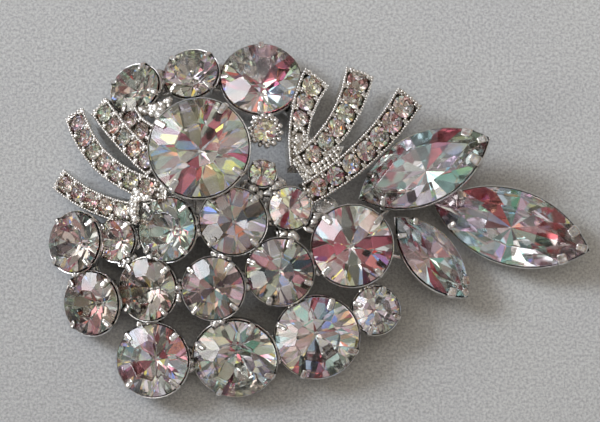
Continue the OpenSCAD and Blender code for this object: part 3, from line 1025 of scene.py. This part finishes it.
# %% Beads of the strips
MILLED = 0.22
MILLED_STEP = 0.41
END_BEAD = 0.27
END_STEP = 0.55
GRAIN = 0.5
STREWN_PER_MM = 6
bead_dice = random.Random(11)
beads = bmesh.new()


def bead(matrix, place, radius):
    bm = bmesh.new()
    bmesh.ops.create_uvsphere(bm, u_segments=8, v_segments=6, radius=radius * bead_dice.uniform(0.88, 1.12))
    join(beads, bm, matrix @ Matrix.Translation(place) @ turn(bead_dice.uniform(0, 90), "X"))


for row in STRIPS:
    first, last = strip_ends(row)
    length = strip_way(row).length
    steps = int((last - first) * length / MILLED_STEP)
    for k in range(steps + 1):
        s = first + (last - first) * k / steps
        for side in (1, -1):
            across = side * (strip_half(row, s) - bead_dice.uniform(0.08, 0.15))
            bead(strip_frame(row, s), (0, across, RIM_HIGH + bead_dice.uniform(-0.08, 0)), MILLED)
    for s in (first, last):
        wide = strip_half(row, s)
        for k in range(int(2 * wide / END_STEP)):
            across = (k + 0.5) * END_STEP - wide
            bead(strip_frame(row, s), (bead_dice.uniform(-0.1, 0.1), across, RIM_HIGH), END_BEAD)
    bare = (-0.5 / (row.count - 1) - first) * length
    for k in range(int(bare * STREWN_PER_MM)):
        s = first + (0.3 + bead_dice.random() * bare) * (1 / length)
        across = bead_dice.uniform(-0.75, 0.75) * strip_half(row, s)
        bead(strip_frame(row, s), (0, across, bead_dice.uniform(-0.3, 0.05)), bead_dice.uniform(0.24, 0.5))
    for k in range(row.count):
        s = (k + 0.5) / (row.count - 1)
        stone = strip_half(row, min(s, 1)) - STRIP_EDGE
        for side in (-1, 1):
            bead(strip_frame(row, s), (0, side * (stone + 0.08), -0.22), GRAIN)
            for shift in (-0.24, 0.24):
                bead(strip_frame(row, s), (shift, side * stone * 0.78, 0.16), MILLED)
print(len(beads.faces), "faces of beads on the strips")

# %% [markdown]
# Two rings of beads, one inside the other, hold the smallest stone. Lines of beads follow the fan's base, and
# heaps of uneven ones, where solder ran together, hide the strips' inner ends. Modelling each heap would be
# slow work, so the same helper is laid on a ring, along a line or over a three-cornered place.

# %% Ring, lines and heaps of beads
RING_BEADS = 14
ringed = next(row for row in ROUNDS if row.name == "stone_05")
for k in range(RING_BEADS):
    place = turn(360 * (k + 0.5) / RING_BEADS, "Z") @ Vector((bead_dice.uniform(1.75, 1.9), 0, 0))
    bead(round_frame(ringed), place, bead_dice.uniform(0.28, 0.38))
    outer = Vector((bead_dice.uniform(2.05, 2.3), 0, bead_dice.uniform(-0.3, 0)))
    bead(round_frame(ringed), turn(360 * k / RING_BEADS, "Z") @ outer, bead_dice.uniform(0.36, 0.5))


def bead_line(points, radius):
    """Beads along a bent line, in the part's own millimetres."""
    for a, b in zip(points, points[1:]):
        a, b = Vector(a), Vector(b)
        count = max(1, round((b - a).length / (2 * radius)))
        for k in range(count):
            bead(PART, a + (b - a) * k / count, radius)


def heap(corners, count, smallest, biggest):
    """Beads of uneven size over a three-cornered place, in the part's own millimetres."""
    a, b, c = [Vector(corner) for corner in corners]
    for k in range(count):
        u, v = bead_dice.random(), bead_dice.random()
        if u + v > 1:
            u, v = 1 - u, 1 - v
        bead(PART, a + u * (b - a) + v * (c - a), bead_dice.uniform(smallest, biggest))


bead_line([(-4.15, 8.9, 10.3), (-3.9, 7.9, 10.5), (-0.95, 3.1, 11.1)], 0.22)
bead_line([(-0.5, 6.7, 10.6), (1.2, 7.9, 10.5), (3.4, 10, 10.1)], 0.4)
bead_line([(-0.1, 6.1, 10.5), (1.5, 7.3, 10.4), (3.2, 9.1, 10)], 0.36)
heap([(-3.9, 8.1, 10.1), (-1, 3.5, 10.7), (0, 7, 10.4)], 46, 0.22, 0.5)
heap([(-25.4, 15.6, 7.9), (-21.6, 13.6, 9.3), (-20.8, 16.9, 8.6)], 30, 0.4, 0.8)
heap([(-25.9, 3.9, 9), (-23.6, 2.6, 9.4), (-26.2, 1.6, 8.6)], 22, 0.35, 0.7)
heap([(-26.3, 1.8, 8.9), (-25.3, 1.6, 8.9), (-25.8, -0.9, 8.4)], 14, 0.45, 0.8)
bead_line([(0.9, 1.9, 11), (2.3, 1.1, 11)], 0.24)
finish_piece(beads, "beads", [strip_silver], sharp=80)

# %% [markdown]
# Behind the stones, rods of round wire join the cups' feet into one frame. Curves with a round bevel would
# do, but the rods are straight, so each is a cylinder, laid from a foot to the neighbour that leaves the
# least of it in sight.

# %% Frame rods
ROD = 1.1


def foot_of(row):
    lean, toward, deep = radians(row.lean), radians(row.toward), foot_deep(row.width) - 0.2
    way = Vector((sin(lean) * cos(toward), sin(lean) * sin(toward), cos(lean)))
    return middle_of(row) - deep * way


feet = [(foot_of(row), row.width / 2) for row in ROUNDS]
feet += [(Vector((row.x, row.y, row.z + 0.2 - foot_deep(row.width))), row.width / 2) for row in OVALS]
feet += [(Vector(row.inner) + Vector((0, 0, 0.5 - STRIP_DEEP)), 1) for row in STRIPS]


def wire(a, b, radius, end_radius, segments):
    """A round wire between two places in the part's own millimetres."""
    way = b - a
    bm = bmesh.new()
    bmesh.ops.create_cone(bm, cap_ends=True, segments=segments, radius1=radius, radius2=end_radius,
                          depth=way.length)
    matrix = carry_to((a + b) / 2) @ way.to_track_quat("Z", "Y").to_matrix().to_4x4()
    bmesh.ops.transform(bm, matrix=matrix, verts=bm.verts)
    return bm


frame_rods = bmesh.new()
for k in range(1, len(feet)):
    foot = feet[k][0]
    near = min(feet[:k], key=lambda other: (other[0] - foot).length - other[1])[0]
    join(frame_rods, wire(foot, near, ROD / 2, ROD / 2, 16))
print(len(feet) - 1, "rods")

# %% [markdown]
# Three legs come down from the frame to pads, which carry the pin's bar. A leg could be a cylinder on a
# plate, but castings flow together, so a flat pad's top face is inset, pulled up to a cup's foot and shrunk
# on the way, and all its edges are rounded.

# %% Legs
PAD = 3
PAD_THICK = 0.6
PAD_LIFT = 0.4
LEG_INSET = 0.7
LEG_SHRINK = 0.6
BAR_TOP = 4
BAR_Y = 1.5
for x, name in ((-19, "stone_09"), (-9, "stone_08"), (1, "stone_16")):
    foot = foot_of(next(row for row in ROUNDS if row.name == name)) + Vector((0, 0, 0.3))
    leg = bmesh.new()
    bmesh.ops.create_cube(leg, size=1, matrix=Matrix.Translation((x, BAR_Y, BAR_TOP + PAD_LIFT - MIDDLE.z))
                          @ Matrix.Diagonal((PAD, PAD, PAD_THICK, 1)))
    top = max(leg.faces, key=lambda f: f.calc_center_median().z)
    bmesh.ops.inset_region(leg, faces=[top], thickness=LEG_INSET)
    fresh = verts_in(bmesh.ops.extrude_face_region(leg, geom=[top])["geom"])
    bmesh.ops.delete(leg, geom=[top], context="FACES_ONLY")
    middle = sum((v.co for v in fresh), Vector()) / len(fresh)
    shrink = Matrix.Translation(foot) @ Matrix.Scale(LEG_SHRINK, 4) @ Matrix.Translation(-middle)
    bmesh.ops.transform(leg, matrix=shrink, verts=fresh)
    bevel(leg, leg.edges[:], 0.12, 2)
    join(frame_rods, leg, PART)
finish_piece(frame_rods, "frame_rods", [pin_silver], sharp=50)

# %% [markdown]
# The pin is out of sight in the photograph. It is one plain piece of the kind that is bought ready made: a
# flat bar with round ends, a post at each end and a pointed stem between them, just above the surface. Blocks
# with bevelled edges and two lengths of wire are all it needs.

# %% Pin
BAR_LONG = 30
BAR_WIDE = 4.4
BAR_THICK = 0.8
BAR_X = -12
POST = 2.6
STEM = 0.9
STEM_Z = 1.1
POINT = 0.06
POINT_LONG = 3


def block(whole, middle, size, corner, soften):
    """A block with its upright edges rounded by corner and all its edges softened."""
    bm = bmesh.new()
    bmesh.ops.create_cube(bm, size=1, matrix=Matrix.Translation(middle) @ Matrix.Diagonal((*size, 1)))
    bevel(bm, [e for e in bm.edges if abs(e.verts[0].co.z - e.verts[1].co.z) > 1e-6], corner, 8)
    bevel(bm, [e for e in bm.edges if abs(e.verts[0].co.z - e.verts[1].co.z) < 1e-6], soften, 2)
    join(whole, bm, TO_METRES @ Matrix.Translation((MIDDLE.x, MIDDLE.y, 0)))


whole = bmesh.new()
high = BAR_TOP - BAR_THICK / 2
low = STEM_Z - STEM / 2 - 0.3
block(whole, (BAR_X, BAR_Y, high), (BAR_LONG, BAR_WIDE, BAR_THICK), BAR_WIDE / 2 - 0.02, 0.12)
for side in (-1, 1):
    x = BAR_X + side * (BAR_LONG / 2 - POST)
    block(whole, (x, BAR_Y, (low + high) / 2), (POST, POST, high - low), 0.6, 0.2)
lift = Vector((0, 0, STEM_Z - MIDDLE.z))
start = Vector((BAR_X - BAR_LONG / 2 + POST, BAR_Y, 0)) + lift
neck = Vector((BAR_X + BAR_LONG / 2, BAR_Y, 0)) + lift
join(whole, wire(start, neck, STEM / 2, STEM / 2, 24))
join(whole, wire(neck, neck + Vector((POINT_LONG, 0, 0)), STEM / 2, POINT, 24))
finish_piece(whole, "pin_smooth", [pin_silver], sharp=50, nodes=["pin_back"])
